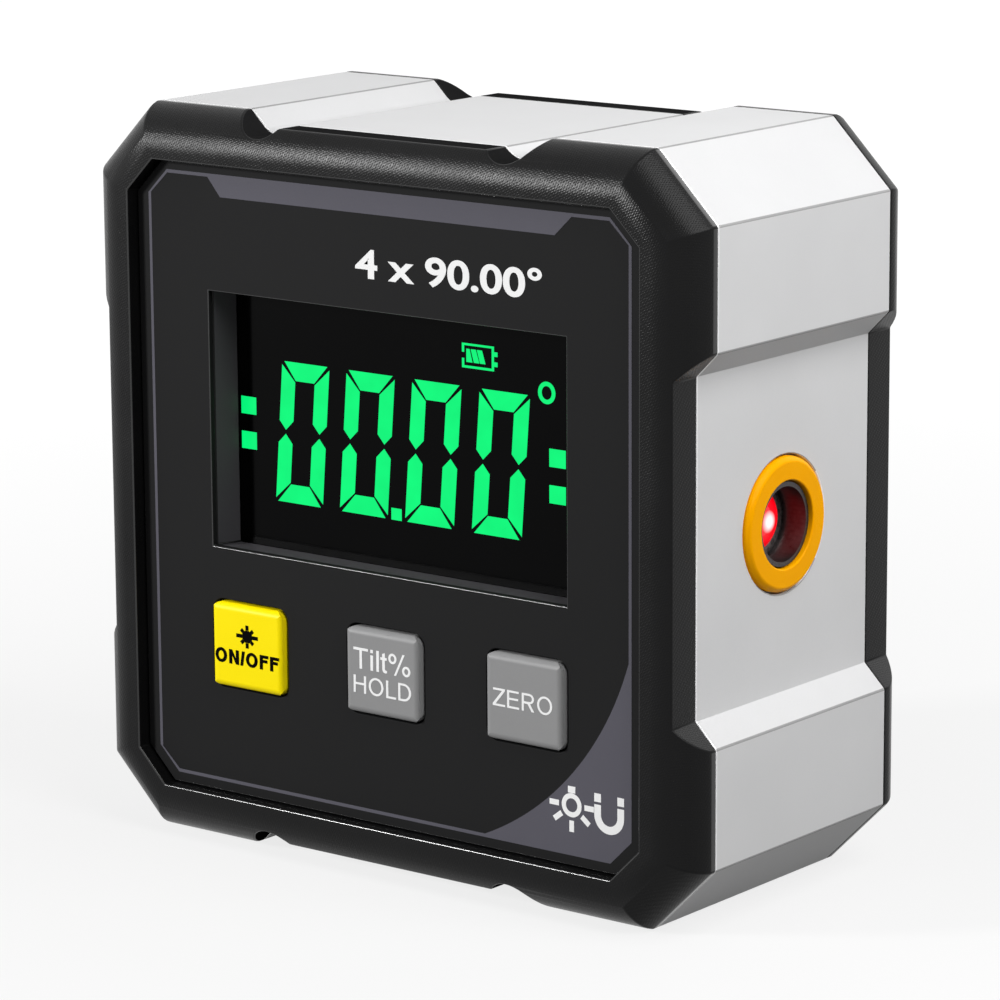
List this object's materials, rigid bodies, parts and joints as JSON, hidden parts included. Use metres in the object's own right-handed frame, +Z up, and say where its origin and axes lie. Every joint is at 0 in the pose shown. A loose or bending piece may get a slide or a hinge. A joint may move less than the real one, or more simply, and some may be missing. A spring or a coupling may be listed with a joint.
{
  "type": "digital angle gauge",
  "caption": "Square digital angle gauge: recessed aluminium frame between black moulded covers, display window, push keys in front, a ringed laser port in each side.",
  "frame": {"origin": "middle of the base, on the plane that its corner pads rest on", "axes": "+X to the right seen from the display, +Y from the display to the back, +Z up"},
  "size_m": [0.06, 0.0302, 0.06],
  "materials": {
    "frame_metal": "bead-blasted and clear anodised",
    "cover_plastic": "fine moulded texture",
    "door_plastic": "fine moulded texture",
    "panel_print": "matt printed sheet",
    "display": "dark display glass",
    "light_guide": "milky",
    "contact_rubber": "striped contact rubber",
    "circuit_board": "green board",
    "chip": "black package",
    "switch_plastic": "black moulding",
    "key_yellow": "satin moulding",
    "key_grey": "satin moulding",
    "ring_orange": "glossy anodised orange",
    "barrel_metal": "turned",
    "lens_glass": "clear",
    "diode_brass": "plated",
    "holder_plastic": "black moulding",
    "magnet": "nickel plated",
    "cell_sleeve": "printed sleeve, plain",
    "contact_steel": "plated",
    "screw_steel": "blackened"
  },
  "bodies": {
    "case": {"frame": "frame_metal", "front_bezel": "cover_plastic", "front_panel": "panel_print", "lcd_glass": "display", "lcd_backlight": "light_guide", "lcd_connector": "contact_rubber", "main_board": "circuit_board", "controller_chip": "chip", "tilt_sensor": "chip", "key_switches": "switch_plastic", "laser_ring_right": "ring_orange", "laser_ring_left": "ring_orange", "laser_barrel_right": "barrel_metal", "laser_barrel_left": "barrel_metal", "laser_lens_right": "lens_glass", "laser_lens_left": "lens_glass", "laser_diode_right": "diode_brass", "laser_diode_left": "diode_brass", "laser_holder_right": "holder_plastic", "laser_holder_left": "holder_plastic", "base_magnets": "magnet", "rear_cover": "cover_plastic", "battery_cell_right": "cell_sleeve", "battery_cell_left": "cell_sleeve", "battery_springs": "contact_steel", "battery_contacts": "contact_steel", "cover_screws": "screw_steel", "board_screws": "contact_steel"},
    "power_key": {"power_button": "key_yellow", "power_plunger": "switch_plastic"},
    "hold_key": {"hold_button": "key_grey", "hold_plunger": "switch_plastic"},
    "zero_key": {"zero_button": "key_grey", "zero_plunger": "switch_plastic"},
    "door": {"battery_door": "door_plastic"}
  },
  "joints": [
    {"name": "power_press", "type": "slide", "parent": "case", "child": "power_key", "axis": [0, 1, 0], "range_m": [0, 0.0005], "stiffness_N_per_m": 900},
    {"name": "hold_press", "type": "slide", "parent": "case", "child": "hold_key", "axis": [0, 1, 0], "range_m": [0, 0.0005], "stiffness_N_per_m": 900},
    {"name": "zero_press", "type": "slide", "parent": "case", "child": "zero_key", "axis": [0, 1, 0], "range_m": [0, 0.0005], "stiffness_N_per_m": 900},
    {"name": "door_swing", "type": "hinge", "parent": "case", "child": "door", "pos_m": [0, 0.0151, 0.0065], "axis": [-1, 0, 0], "range_deg": [0, 75]}
  ]
}
